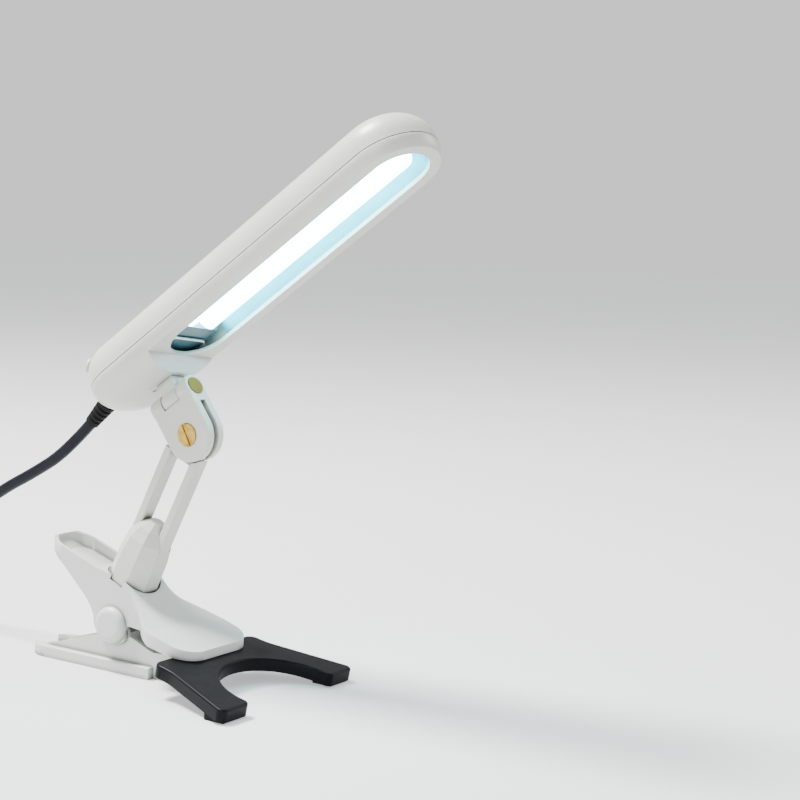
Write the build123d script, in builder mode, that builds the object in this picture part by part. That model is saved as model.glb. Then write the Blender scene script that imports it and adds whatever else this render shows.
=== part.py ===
"""UV curing lamp on a spring clip with a forked foot, as separate pieces.

Units are millimetres and +Z is up. The lamp stands on Z = 0 with the middle of its
bounding box over the origin. +X points along the clip towards the jaws and the fork,
and the clip's own middle plane is Y = 0.
"""

from build123d import *
from math import cos, pi, radians, sin, tan
import os

os.makedirs("parts", exist_ok=True)

# ---------------------------------------------------------------- driving dimensions
# Fork foot: a plate that slopes down to its two tips.
TIP_X = 50.5              # the tips' front edge
TIP_LIFT = 0.8            # plate edge above the table, taken up by the rubber pads
FORK_SLOPE = 10.9         # degrees
FORK_THICK = 6.6
FORK_LONG = 57.0
FORK_HALF_REAR = 38.5
FORK_HALF_TIP = 53.7
FORK_WAIST = 46.0         # where the parallel rear part starts to splay
CUTOUT_R = 32.0
CUTOUT_BACK = 4.7         # the cut-out's centre behind the tips

# Spring clip.
PIVOT_X, PIVOT_Z = -53.5, 24.5
LEVER_REAR_X = -115.3
LOWER_HALF = 14.4         # half width of the lower lever's foot flange
LOWER_FLANGE = 6.2        # height of that flange
EAR_OUT = 10.9            # outer face of the lower lever's walls
UPPER_OUT = 13.4          # outer face of the upper lever's walls
UPPER_IN = 11.3
WALL = 2.2
PIN_R = 2.5
CAP_R = 9.5
PAD_HALF = 26.5
PAD_FRONT_X = 7.2

# Arm, its swivel hub and the knuckle.
SEAT = (-51.9, 46.0)      # swivel seat on the upper lever, X and Z
ARM_LEAN = 26.0           # degrees forward from upright
SWIVEL_R = 2.4
HUB_H = 36.0
HUB_CLEAR_R = 14.1
TILT_UP = 88.7            # tilt screw above the seat, along the arm
RAIL_OUT = 11.1           # the rails' outer faces from the arm's middle
RAIL_IN = 6.5
RAIL_HALF_Y = 4.15
EYE_HALF_Y = 1.5
KNUCKLE_HALF_Y = 6.1
KNUCKLE_R = 13.8
SLOT_HALF_Y = 1.8
BARREL_UP = 20.0          # roll pin above the tilt screw, along the knuckle
BARREL_R = 6.3
NOTCH_HALF = 5.9
ROLL_PIN_R = 2.4
TILT_SCREW_R = 2.4

# Lamp head, measured from the middle of its parting plane.
HEAD_LEAN = 36.1          # degrees that the long axis rises to the front
HEAD_ROLL = 9.0           # degrees that the window turns to -Y
HEAD_AHEAD = 74.6         # head's middle ahead of the roll lug
HEAD_ABOVE = 25.4         # parting plane above the roll pin
HEAD_LONG = 236.0
HEAD_R = 24.9
HEAD_TOP = 18.6
TOP_ROUND = 15.0
HEAD_DEEP = 6.4           # window plane below the parting
REAR_DEEP = 15.2          # the rear part's underside below the parting
SHELL = 2.0
WINDOW_LONG = 172.4
WINDOW_R = 16.4
WINDOW_AHEAD = 24.2
TUBE_R = 6.0
TUBE_PITCH = 13.8
TUBE_LONG = 145.0
TUBE_START = -44.5
CAP_LONG = 22.0
BUTTON_SLANT = 36.0
BUTTON_TURN = 54.0

# Mains cord.
CORD_D = 6.0
COIL_X, COIL_Y = -322.0, -6.0
COIL_IN, COIL_OUT = 24.0, 42.0
COIL_LOW, COIL_HIGH = 0.9, 12.9
PLUG_LONG, PLUG_WIDE, PLUG_THICK = 36.0, 35.0, 13.6


# ---------------------------------------------------------------- places and frames
def polar_point(start, angle, length):
    """Return the X and Z of a point at an angle in degrees above +X."""
    return start[0] + length * cos(radians(angle)), start[1] + length * sin(radians(angle))


side = Plane.XZ
pivot = (PIVOT_X, PIVOT_Z)
fork_slope = radians(FORK_SLOPE)
fork_plane = Plane(
    origin=(TIP_X, 0, TIP_LIFT),
    x_dir=(cos(fork_slope), 0, -sin(fork_slope)),
    z_dir=(sin(fork_slope), 0, cos(fork_slope)),
)

arm_angle = 90 - ARM_LEAN
arm_plane = Plane(
    origin=(SEAT[0], 0, SEAT[1]),
    x_dir=(cos(radians(ARM_LEAN)), 0, -sin(radians(ARM_LEAN))),
    z_dir=(sin(radians(ARM_LEAN)), 0, cos(radians(ARM_LEAN))),
)
arm_side = Plane(
    origin=arm_plane.origin, x_dir=arm_plane.x_dir, z_dir=(0, -1, 0)
)

tilt_point = polar_point(SEAT, arm_angle, TILT_UP)
head_angle = radians(HEAD_LEAN)
along = Vector(cos(head_angle), 0, sin(head_angle))
upward = Vector(-sin(head_angle), 0, cos(head_angle))
knuckle_side = Plane(
    origin=(tilt_point[0], 0, tilt_point[1]), x_dir=along, z_dir=(0, -1, 0)
)
barrel_point = Vector(tilt_point[0], 0, tilt_point[1]) + upward * BARREL_UP
head_up = upward * cos(radians(HEAD_ROLL)) + Vector(0, sin(radians(HEAD_ROLL)), 0)
head_middle = barrel_point + head_up * HEAD_ABOVE + along * HEAD_AHEAD
head_plane = Plane(origin=head_middle, x_dir=along, z_dir=head_up)
head_side = Plane(origin=head_middle, x_dir=along, z_dir=along.cross(head_up))
lug_plane = Plane(origin=barrel_point, x_dir=head_up.cross(along), z_dir=along)
roll_plane = Plane(origin=barrel_point, x_dir=(0, 1, 0), z_dir=along)


def head_point(u, v, w):
    """Return the world place of a point given in the head's own frame."""
    return head_plane.from_local_coords(Vector(u, v, w))


def stadium(length, radius):
    """Draw a slot shape of the given overall length and end radius."""
    return SlotOverall(length, 2 * radius)


def put(piece, name):
    """Label a finished piece and write its STEP file."""
    piece.label = name
    export_step(piece, f"parts/{name}.step")
    return piece


# ---------------------------------------------------------------- fork foot
with BuildPart() as fork_foot:
    with BuildSketch(fork_plane) as fork_outline:
        with BuildLine():
            Polyline(
                (-FORK_LONG, -FORK_HALF_REAR),
                (-FORK_WAIST, -FORK_HALF_REAR),
                (0, -FORK_HALF_TIP),
                (0, FORK_HALF_TIP),
                (-FORK_WAIST, FORK_HALF_REAR),
                (-FORK_LONG, FORK_HALF_REAR),
                close=True,
            )
        make_face()
        with Locations((-CUTOUT_BACK, 0)):
            Circle(CUTOUT_R, mode=Mode.SUBTRACT)
        waist = fork_outline.vertices().group_by(Axis.X)[1]
        fillet(waist, 30)
    extrude(amount=FORK_THICK)
    upright = fork_foot.edges().filter_by(Axis(fork_plane.origin, fork_plane.z_dir))
    fillet(upright.filter_by(lambda e: e.center().X > TIP_X - 8), 3.5)
    fillet(
        fork_foot.edges()
        .filter_by(Axis(fork_plane.origin, fork_plane.z_dir))
        .filter_by(lambda e: e.center().X < TIP_X - 50),
        5,
    )
    fillet(fork_foot.faces().filter_by(fork_plane).sort_by(Axis.Z)[-1].edges(), 1.2)
    # pocket underneath that takes the lower lever's tongue
    with BuildSketch(fork_plane):
        with Locations((-FORK_LONG + 7, 0)):
            Rectangle(16, 33)
    extrude(amount=3.9, mode=Mode.SUBTRACT)
    with BuildSketch(fork_plane):
        with Locations((-FORK_LONG + 8, -9), (-FORK_LONG + 8, 9)):
            Circle(1.2)
    extrude(amount=5.6, mode=Mode.SUBTRACT)
put(fork_foot.part, "fork_foot")

# Rubber pads under the tips: wedges that fill the space down to the table.
with BuildPart() as foot_pads:
    with BuildSketch(side.offset(-43)):
        with BuildLine():
            Polyline(
                (TIP_X - 1.6, 0),
                (TIP_X - 1.6, TIP_LIFT + 1.6 * tan(fork_slope)),
                (TIP_X - 13, TIP_LIFT + 13 * tan(fork_slope)),
                (TIP_X - 13, 0),
                close=True,
            )
        make_face()
    extrude(amount=6.5, both=True)
    mirror(about=Plane.XZ)
put(foot_pads.part, "foot_pads")

# ---------------------------------------------------------------- lower lever
TONGUE_LIFT = 0.2
TONGUE_THICK = 3.4


def on_fork(back, up):
    """Return X and Z of a point behind the tips and above the fork's underside."""
    place = fork_plane.from_local_coords(Vector(-back, 0, up))
    return place.X, place.Z


tongue_low = on_fork(FORK_LONG, TONGUE_LIFT)
tongue_end_low = on_fork(FORK_LONG - 14.2, TONGUE_LIFT)
tongue_end_high = on_fork(FORK_LONG - 14.2, TONGUE_LIFT + TONGUE_THICK)
tongue_high = on_fork(FORK_LONG + 1.5, TONGUE_LIFT + TONGUE_THICK)

with BuildPart() as lower_lever:
    # foot flange with a rounded rear end
    with BuildSketch(Plane.XY):
        with BuildLine():
            Line((-28, -LOWER_HALF), (LEVER_REAR_X + 15, -LOWER_HALF))
            ThreePointArc(
                (LEVER_REAR_X + 15, -LOWER_HALF),
                (LEVER_REAR_X, 0),
                (LEVER_REAR_X + 15, LOWER_HALF),
            )
            Line((LEVER_REAR_X + 15, LOWER_HALF), (-28, LOWER_HALF))
            Line((-28, LOWER_HALF), (-28, -LOWER_HALF))
        make_face()
    extrude(amount=LOWER_FLANGE)
    flange_rim = lower_lever.faces().sort_by(Axis.Z)[-1].edges()
    fillet(flange_rim.filter_by(lambda e: e.center().X < -29), 1.0)
    # two walls that rise to the pivot
    with BuildSketch(side):
        with BuildLine():
            Polyline(
                (LEVER_REAR_X + 12, 3),
                (LEVER_REAR_X + 12, LOWER_FLANGE - 0.6),
                (PIVOT_X - 9, 18),
                (PIVOT_X - 6, 30),
                (PIVOT_X + 5, 30),
                (PIVOT_X + 9, 19.6),
                (-28.5, 13.4),
                (tongue_high[0], tongue_high[1] - 0.4),
                (tongue_low[0] - 1.5, tongue_low[1]),
                (-22, 0),
                (LEVER_REAR_X + 30, 0),
                close=True,
            )
        make_face()
    extrude(amount=EAR_OUT, both=True)
    with BuildSketch(side):
        with BuildLine():
            Polyline(
                (LEVER_REAR_X - 20, 2.4),
                (LEVER_REAR_X - 20, 60),
                (0, 60),
                (0, 18),
                (-12.6, 14.0),
                (-24, 2.4),
                close=True,
            )
        make_face()
    extrude(amount=EAR_OUT - WALL, both=True, mode=Mode.SUBTRACT)
    # scoop out the flange behind the walls
    with BuildSketch(Plane.XY.offset(2.4)):
        with BuildLine():
            Line((-80, -EAR_OUT + WALL), (LEVER_REAR_X + 14, -EAR_OUT + WALL))
            ThreePointArc(
                (LEVER_REAR_X + 14, -EAR_OUT + WALL),
                (LEVER_REAR_X + 3.2, 0),
                (LEVER_REAR_X + 14, EAR_OUT - WALL),
            )
            Line((LEVER_REAR_X + 14, EAR_OUT - WALL), (-80, EAR_OUT - WALL))
            Line((-80, EAR_OUT - WALL), (-80, -EAR_OUT + WALL))
        make_face()
    extrude(amount=20, mode=Mode.SUBTRACT)
    # tongue that enters the fork's pocket
    with BuildSketch(side):
        with BuildLine():
            Polyline(
                tongue_low,
                tongue_end_low,
                tongue_end_high,
                tongue_high,
                (tongue_high[0] - 7, tongue_high[1] - 3),
                (tongue_low[0] - 7, tongue_low[1] - 4.4),
                close=True,
            )
        make_face()
    extrude(amount=EAR_OUT, both=True)
    with BuildSketch(fork_plane.offset(TONGUE_LIFT)):
        with Locations((-FORK_LONG + 7.1, 0)):
            Rectangle(14.2, 32)
    extrude(amount=TONGUE_THICK)
    # pivot bore and the two screw holes
    with BuildSketch(side):
        with Locations(pivot):
            Circle(PIN_R + 0.05)
    extrude(amount=30, both=True, mode=Mode.SUBTRACT)
    with BuildSketch(fork_plane.offset(-6)):
        with Locations((-FORK_LONG + 8, -9), (-FORK_LONG + 8, 9)):
            Circle(1.6)
    extrude(amount=20, mode=Mode.SUBTRACT)
put(lower_lever.part, "lower_lever")

with BuildPart() as fork_screws:
    with BuildSketch(fork_plane.offset(TONGUE_LIFT - 1.4)):
        with Locations((-FORK_LONG + 8, -9), (-FORK_LONG + 8, 9)):
            Circle(2.7)
    extrude(amount=1.4)
    with BuildSketch(fork_plane.offset(TONGUE_LIFT)):
        with Locations((-FORK_LONG + 8, -9), (-FORK_LONG + 8, 9)):
            Circle(1.2)
    extrude(amount=5.2)
put(fork_screws.part, "fork_screws")

# ---------------------------------------------------------------- clip pivot
PIN_HALF = 16.2
with BuildPart() as clip_pin:
    with BuildSketch(side):
        with Locations(pivot):
            Circle(PIN_R)
    extrude(amount=PIN_HALF, both=True)
put(clip_pin.part, "clip_pin")

with BuildPart() as pivot_caps:
    with BuildSketch(side.offset(UPPER_OUT + 0.05)):
        with Locations(pivot):
            Circle(CAP_R)
    extrude(amount=4.2)
    fillet(pivot_caps.faces().sort_by(Axis.Y)[0].edges(), 3.4)
    with BuildSketch(side.offset(UPPER_OUT)):
        with Locations(pivot):
            Circle(PIN_R + 0.02)
    extrude(amount=PIN_HALF - UPPER_OUT + 0.1, mode=Mode.SUBTRACT)
    mirror(about=Plane.XZ)
put(pivot_caps.part, "pivot_caps")

SPRING_WIRE_R = 0.9
SPRING_R = 5.4
SPRING_HALF = 6.3
SPRING_PITCH = 2.1
with BuildPart() as clip_spring:
    with BuildLine() as coil_line:
        Helix(
            pitch=SPRING_PITCH, height=2 * SPRING_HALF, radius=SPRING_R,
            center=(PIVOT_X, -SPRING_HALF, PIVOT_Z), direction=(0, 1, 0),
        )
    with BuildSketch(Plane(origin=coil_line.line @ 0, z_dir=coil_line.line % 0)):
        Circle(SPRING_WIRE_R)
    sweep()
put(clip_spring.part, "clip_spring")

# ---------------------------------------------------------------- upper lever
seat_rear = polar_point(SEAT, 180 - ARM_LEAN, HUB_CLEAR_R)
rim_rear = (-98.0, 63.6)
slope_top = (-46.5, 49.0)
slope_low = (-22.5, 30.0)
pad_top_rear = (-13.0, 26.9)
pad_top_front = (PAD_FRONT_X, 20.9)
fork_top_rise = tan(fork_slope)
fork_top_tip = TIP_LIFT + FORK_THICK / cos(fork_slope)


def over_fork(x, gap):
    """Return X and Z of a point above the fork's top face."""
    return x, fork_top_tip + (TIP_X - x) * fork_top_rise + gap


PAD_GAP = 0.5
pad_low_rear = over_fork(-18.5, PAD_GAP)
pad_low_front = over_fork(PAD_FRONT_X, PAD_GAP)
pad_low_step = over_fork(-12.0, PAD_GAP)
RUBBER_REAR_X, RUBBER_FRONT_X = -9.0, 4.2
RUBBER_LOW, RUBBER_TOP = 0.3, 1.6
RUBBER_HALF = 19.0

with BuildPart() as upper_lever:
    # walls and top in one block, shaped by its side outline
    with BuildSketch(side):
        with BuildLine():
            Line(seat_rear, rim_rear)
            ThreePointArc(rim_rear, (-102.6, 62.2), (-100.6, 58.6))
            Spline((-100.6, 58.6), (-89.5, 51.8), (-78.7, 42.2), (-71.6, 35.4), (-66.6, 27.2))
            ThreePointArc((-66.6, 27.2), (PIVOT_X, PIVOT_Z - 10.4), (-45.2, 17.6))
            Line((-45.2, 17.6), (-45.6, 21.4))
            ThreePointArc((-45.6, 21.4), (-44.4, 24.2), (-41.6, 25.2))
            Line((-41.6, 25.2), (-24.5, 23.4))
            Line((-24.5, 23.4), pad_low_rear)
            Line(pad_low_rear, pad_low_step)
            Line(pad_low_step, pad_top_rear)
            Spline(pad_top_rear, (-18.5, 28.4), slope_low, slope_top)
            Line(slope_top, seat_rear)
        make_face()
    extrude(amount=UPPER_OUT, both=True)
    # rounded handle end in plan
    with BuildSketch(Plane.XY):
        with Locations((-103, 0)):
            Rectangle(26, 40)
        with Locations((-89.2, 0)):
            Circle(UPPER_OUT, mode=Mode.SUBTRACT)
        with Locations((-89.2 + 15, 0)):
            Rectangle(30, 40, mode=Mode.SUBTRACT)
    extrude(amount=120, mode=Mode.SUBTRACT)
    # jaw pad with its flared neck
    with BuildSketch(side):
        with BuildLine():
            Spline(slope_top, slope_low, (-18.5, 28.4), pad_top_rear)
            Line(pad_top_rear, pad_top_front)
            Line(pad_top_front, pad_low_front)
            Line(pad_low_front, pad_low_rear)
            Line(pad_low_rear, (-25.5, 24.5))
            Line((-25.5, 24.5), (-48.5, 42.6))
            Line((-48.5, 42.6), slope_top)
        make_face()
    pad_block = extrude(amount=PAD_HALF + 5, both=True, mode=Mode.PRIVATE)
    with BuildSketch(Plane.XY, mode=Mode.PRIVATE) as pad_plan:
        with BuildLine():
            Line((-50, -UPPER_OUT), (-42, -UPPER_OUT))
            Spline(
                (-42, -UPPER_OUT), (-32, -17.5), (-23, -24.6), (-13, -PAD_HALF),
                tangents=((1, -0.05), (1, 0)),
            )
            Line((-13, -PAD_HALF), (-6, -PAD_HALF))
            ThreePointArc((-6, -PAD_HALF), (3.4, -22.6), (PAD_FRONT_X, -13))
            Line((PAD_FRONT_X, -13), (PAD_FRONT_X, 13))
            ThreePointArc((PAD_FRONT_X, 13), (3.4, 22.6), (-6, PAD_HALF))
            Line((-6, PAD_HALF), (-13, PAD_HALF))
            Spline(
                (-13, PAD_HALF), (-23, 24.6), (-32, 17.5), (-42, UPPER_OUT),
                tangents=((-1, 0), (-1, -0.05)),
            )
            Line((-42, UPPER_OUT), (-50, UPPER_OUT))
            Line((-50, UPPER_OUT), (-50, -UPPER_OUT))
        make_face()
    pad_column = extrude(pad_plan.sketch, amount=120, mode=Mode.PRIVATE)
    add(pad_block & pad_column)
    # hollow between the walls, open below
    with BuildSketch(side):
        with BuildLine():
            Polyline(
                (-95.5, 52.6),
                (-66.5, 45.2),
                polar_point((SEAT[0], SEAT[1] - 3.0), 180 - ARM_LEAN, 12),
                polar_point((SEAT[0], SEAT[1] - 3.0), -ARM_LEAN, 13),
                (-25.4, 25.4),
                (-24.0, 10),
                (-110, 10),
                close=True,
            )
        make_face()
    extrude(amount=UPPER_IN, both=True, mode=Mode.SUBTRACT)
    # scooped thumb rest behind the hub
    with BuildSketch(side):
        with BuildLine():
            Line((-100.2, 64.8), (-100.2, 61.2))
            Line((-100.2, 61.2), (-95, 56.4))
            Line((-95, 56.4), (-69.5, 48.4))
            Line((-69.5, 48.4), (-65.4, 53.4))
            Line((-65.4, 53.4), (-66, 70))
            Line((-66, 70), (-100.2, 64.8))
        make_face()
    scoop_side = extrude(amount=30, both=True, mode=Mode.PRIVATE)
    with BuildSketch(Plane.XY, mode=Mode.PRIVATE) as scoop_plan:
        with Locations((-89.2, 0)):
            Circle(UPPER_IN)
        with Locations((-89.2 + 15, 0)):
            Rectangle(30, 2 * UPPER_IN)
    add(scoop_side & extrude(scoop_plan.sketch, amount=120, mode=Mode.PRIVATE), mode=Mode.SUBTRACT)
    # round clearance over the swivel seat
    with BuildSketch(arm_plane):
        Circle(HUB_CLEAR_R)
    extrude(amount=60, mode=Mode.SUBTRACT)
    # bores for the pin and the swivel screw
    with BuildSketch(side):
        with Locations(pivot):
            Circle(PIN_R + 0.02)
    extrude(amount=30, both=True, mode=Mode.SUBTRACT)
    with BuildSketch(arm_plane):
        Circle(SWIVEL_R + 0.05)
    extrude(amount=-12, mode=Mode.SUBTRACT)
    # pocket under the pad for the rubber face
    with BuildSketch(side):
        with BuildLine():
            Polyline(
                over_fork(RUBBER_REAR_X, 0),
                over_fork(RUBBER_FRONT_X, 0),
                over_fork(RUBBER_FRONT_X, RUBBER_TOP),
                over_fork(RUBBER_REAR_X, RUBBER_TOP),
                close=True,
            )
        make_face()
    extrude(amount=RUBBER_HALF, both=True, mode=Mode.SUBTRACT)
put(upper_lever.part, "upper_lever")

# rubber face under the upper jaw
with BuildPart() as jaw_pad:
    with BuildSketch(side):
        with BuildLine():
            Polyline(
                over_fork(RUBBER_REAR_X, RUBBER_LOW),
                over_fork(RUBBER_FRONT_X, RUBBER_LOW),
                over_fork(RUBBER_FRONT_X, RUBBER_TOP),
                over_fork(RUBBER_REAR_X, RUBBER_TOP),
                close=True,
            )
        make_face()
    extrude(amount=RUBBER_HALF, both=True)
put(jaw_pad.part, "jaw_pad")

# ---------------------------------------------------------------- swivel hub and arm
HUB_GAP = 0.3
HUB_FLAT = 12.3
hub_sections = [(HUB_GAP, HUB_FLAT), (17, 12.0), (26, 10.9), (32.5, 7.8), (HUB_H, 3.4)]
ARM_FOOT = 5.0
REAR_RAIL_END = 12.9      # below the tilt screw
with BuildPart() as swivel_hub:
    for height, flat in hub_sections:
        with BuildSketch(arm_plane.offset(height)):
            RegularPolygon(radius=flat / cos(pi / 8), side_count=8, rotation=22.5)
    loft(ruled=True)
    with BuildSketch(arm_plane):
        Rectangle(2 * RAIL_OUT + 0.04, 2 * RAIL_HALF_Y + 0.04)
    extrude(amount=ARM_FOOT + 6.0, mode=Mode.SUBTRACT)
    with BuildSketch(arm_plane):
        with Locations(((RAIL_OUT + RAIL_IN) / 2, 0), (-(RAIL_OUT + RAIL_IN) / 2, 0)):
            Rectangle(RAIL_OUT - RAIL_IN + 0.04, 2 * RAIL_HALF_Y + 0.04)
    extrude(amount=50, mode=Mode.SUBTRACT)
put(swivel_hub.part, "swivel_hub")

with BuildPart() as arm_frame:
    with BuildSketch(arm_side):
        with BuildLine():
            Polyline(
                (-RAIL_OUT, ARM_FOOT),
                (-RAIL_OUT, TILT_UP - 6),
                (RAIL_OUT, TILT_UP - 6),
                (RAIL_OUT, ARM_FOOT),
                close=True,
            )
        make_face()
        with BuildLine():
            Polyline(
                (-RAIL_IN, ARM_FOOT + 6),
                (-RAIL_IN, TILT_UP),
                (RAIL_IN, TILT_UP),
                (RAIL_IN, ARM_FOOT + 6),
                close=True,
            )
        make_face(mode=Mode.SUBTRACT)
        with Locations((0, TILT_UP)):
            Circle(KNUCKLE_R + 0.6, mode=Mode.SUBTRACT)
        # the rear rail ends lower, clear of the knuckle's flat side
        with Locations((-RAIL_OUT, TILT_UP - REAR_RAIL_END + 10)):
            Rectangle(2 * (RAIL_OUT - RAIL_IN) + 1, 20, mode=Mode.SUBTRACT)
    extrude(amount=RAIL_HALF_Y, both=True)
    rail_edges = arm_frame.edges().filter_by(Axis(arm_plane.origin, arm_plane.z_dir))
    fillet(rail_edges, 0.9)
    # thin eye that enters the knuckle's slot
    with BuildSketch(arm_side):
        with Locations((0, TILT_UP - 8)):
            Rectangle(2 * RAIL_OUT - 1, 16)
        with BuildLine():
            Polyline(
                (-RAIL_IN - 0.5, TILT_UP - 20),
                (-RAIL_IN - 0.5, TILT_UP - 15.5),
                (RAIL_IN + 0.5, TILT_UP - 15.5),
                (RAIL_IN + 0.5, TILT_UP - 20),
                close=True,
            )
        make_face(mode=Mode.SUBTRACT)
        with Locations((0, TILT_UP)):
            Circle(RAIL_OUT - 0.5)
    extrude(amount=EYE_HALF_Y, both=True)
    with BuildSketch(arm_side):
        with Locations((0, TILT_UP)):
            Circle(TILT_SCREW_R + 0.06)
    extrude(amount=12, both=True, mode=Mode.SUBTRACT)
    with BuildSketch(arm_plane):
        Circle(1.5)
    extrude(amount=ARM_FOOT + 20, mode=Mode.SUBTRACT)
put(arm_frame.part, "arm_frame")

# swivel screw from below, its spring washer and the plain washer
with BuildPart() as swivel_screw:
    with BuildSketch(arm_plane):
        Circle(1.5)
    extrude(amount=ARM_FOOT + 5.5)
    with BuildSketch(arm_plane):
        Circle(SWIVEL_R)
    extrude(amount=-3.6)
    with BuildSketch(arm_plane.offset(-3.6)):
        Circle(4.4)
    extrude(amount=-2.0)
put(swivel_screw.part, "swivel_screw")

with BuildPart() as swivel_washer:
    with BuildSketch(arm_plane.offset(-3.5)):
        Circle(6.2)
        Circle(2.7, mode=Mode.SUBTRACT)
    extrude(amount=0.45)
put(swivel_washer.part, "swivel_washer")

# ---------------------------------------------------------------- knuckle
SCREW_HEAD_R = 5.8
NUT_R = 5.2
SINK = 1.3
PIN_HEAD_R = 4.6
knuckle_end = knuckle_side.offset(KNUCKLE_HALF_Y)
with BuildPart() as knuckle:
    with BuildSketch(knuckle_side):
        Circle(KNUCKLE_R)
        with Locations((0, BARREL_UP / 2)):
            Rectangle(2 * KNUCKLE_R, BARREL_UP)
    extrude(amount=KNUCKLE_HALF_Y, both=True)
    fillet(knuckle.faces().filter_by(Axis.Y).edges().filter_by(lambda e: e.length > 15), 0.9)
    with BuildSketch(roll_plane):
        Circle(BARREL_R)
    extrude(amount=KNUCKLE_R, both=True)
    # slot for the arm's eye
    with BuildSketch(knuckle_side):
        with Locations((0, -3.2)):
            Rectangle(60, 30)
    extrude(amount=SLOT_HALF_Y, both=True, mode=Mode.SUBTRACT)
    # notch for the head's lug
    with BuildSketch(roll_plane):
        Circle(BARREL_R + 0.5)
        with Locations((0, 15)):
            Rectangle(30, 30)
    extrude(amount=NOTCH_HALF, both=True, mode=Mode.SUBTRACT)
    # bores and sunk seats
    with BuildSketch(knuckle_side):
        Circle(TILT_SCREW_R + 0.02)
    extrude(amount=20, both=True, mode=Mode.SUBTRACT)
    with BuildSketch(knuckle_end):
        Circle(SCREW_HEAD_R + 0.1)
    extrude(amount=-SINK, mode=Mode.SUBTRACT)
    with BuildSketch(knuckle_side.offset(-KNUCKLE_HALF_Y)):
        Circle(NUT_R + 0.1)
    extrude(amount=SINK, mode=Mode.SUBTRACT)
    with BuildSketch(roll_plane):
        Circle(ROLL_PIN_R + 0.02)
    extrude(amount=20, both=True, mode=Mode.SUBTRACT)
    with BuildSketch(roll_plane.offset(KNUCKLE_R)):
        Circle(PIN_HEAD_R + 0.08)
    extrude(amount=-SINK, mode=Mode.SUBTRACT)
    with BuildSketch(roll_plane.offset(-KNUCKLE_R)):
        Circle(PIN_HEAD_R + 0.08)
    extrude(amount=SINK, mode=Mode.SUBTRACT)
put(knuckle.part, "knuckle")

with BuildPart() as tilt_screw:
    with BuildSketch(knuckle_end.offset(-SINK)):
        Circle(SCREW_HEAD_R)
    extrude(amount=SINK + 0.7)
    fillet(tilt_screw.faces().sort_by(Axis.Y)[0].edges(), 0.35)
    with BuildSketch(knuckle_end.offset(0.7)):
        Rectangle(30, 1.1, rotation=-97)
    extrude(amount=-1.0, mode=Mode.SUBTRACT)
    with BuildSketch(knuckle_end.offset(-SINK)):
        Circle(TILT_SCREW_R)
    extrude(amount=-(2 * KNUCKLE_HALF_Y - SINK))
put(tilt_screw.part, "tilt_screw")

with BuildPart() as tilt_nut:
    with BuildSketch(knuckle_side.offset(-KNUCKLE_HALF_Y + SINK)):
        RegularPolygon(radius=NUT_R, side_count=6)
        Circle(TILT_SCREW_R, mode=Mode.SUBTRACT)
    extrude(amount=-SINK - 1.2)
put(tilt_nut.part, "tilt_nut")

with BuildPart() as friction_washers:
    with BuildSketch(knuckle_side.offset(EYE_HALF_Y + 0.06)):
        Circle(7.0)
        Circle(TILT_SCREW_R + 0.1, mode=Mode.SUBTRACT)
    extrude(amount=0.18)
    mirror(about=Plane.XZ)
put(friction_washers.part, "friction_washers")

with BuildPart() as roll_pin:
    with BuildSketch(roll_plane.offset(KNUCKLE_R - SINK)):
        Circle(PIN_HEAD_R)
    extrude(amount=SINK + 0.5)
    with BuildSketch(roll_plane.offset(KNUCKLE_R - SINK)):
        Circle(ROLL_PIN_R)
    extrude(amount=-(2 * KNUCKLE_R - SINK))
put(roll_pin.part, "roll_pin")

with BuildPart() as roll_nut:
    with BuildSketch(roll_plane.offset(-KNUCKLE_R + SINK)):
        Circle(PIN_HEAD_R)
        Circle(ROLL_PIN_R, mode=Mode.SUBTRACT)
    extrude(amount=-SINK - 0.4)
put(roll_nut.part, "roll_nut")

# ---------------------------------------------------------------- head lug and shells
LUG_R = 6.1
LUG_HALF = NOTCH_HALF - 0.3
LUG_NECK = 4.5
FLANGE_HALF = 5.5
FLANGE_REAR, FLANGE_FRONT = -88.0, -67.9
FLANGE_THICK = 2.0
FLOOR = -HEAD_DEEP + SHELL
PARTING = 0.45
REAR_FLOOR = -REAR_DEEP * sin(radians(75)) + SHELL
STEP_TOP, STEP_FOOT = -62.4, -66.6
lug_spots = [(-84.0, -2.9), (-84.0, 2.9)]
boss_spots = [(-104.5, 9.0), (-93.0, 16.6)]
SCREW_R = 1.1
BOSS_R = 3.1
SINK_R = 2.3
SINK_DEPTH = 8.6

with BuildPart() as head_lug:
    with BuildSketch(lug_plane):
        Circle(LUG_R)
        with Locations((0, (HEAD_ABOVE + REAR_FLOOR) / 2)):
            Rectangle(2 * LUG_NECK, HEAD_ABOVE + REAR_FLOOR)
    extrude(amount=LUG_HALF, both=True)
    with BuildSketch(head_plane.offset(REAR_FLOOR)):
        with Locations(((FLANGE_REAR + FLANGE_FRONT) / 2, 0)):
            Rectangle(FLANGE_FRONT - FLANGE_REAR, 2 * FLANGE_HALF)
    extrude(amount=FLANGE_THICK)
    with BuildSketch(head_plane.offset(REAR_FLOOR)):
        with Locations(*lug_spots):
            Circle(SCREW_R + 0.1)
    extrude(amount=FLANGE_THICK, mode=Mode.SUBTRACT)
    with BuildSketch(roll_plane):
        Circle(ROLL_PIN_R + 0.06)
    extrude(amount=20, both=True, mode=Mode.SUBTRACT)
put(head_lug.part, "head_lug")

with BuildPart() as lug_screws:
    with BuildSketch(head_plane.offset(REAR_FLOOR + FLANGE_THICK)):
        with Locations(*lug_spots):
            Circle(2.1)
    extrude(amount=1.3)
    with BuildSketch(head_plane.offset(REAR_FLOOR - SHELL + 0.4)):
        with Locations(*lug_spots):
            Circle(SCREW_R)
    extrude(amount=SHELL + FLANGE_THICK - 0.4)
put(lug_screws.part, "lug_screws")

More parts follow.
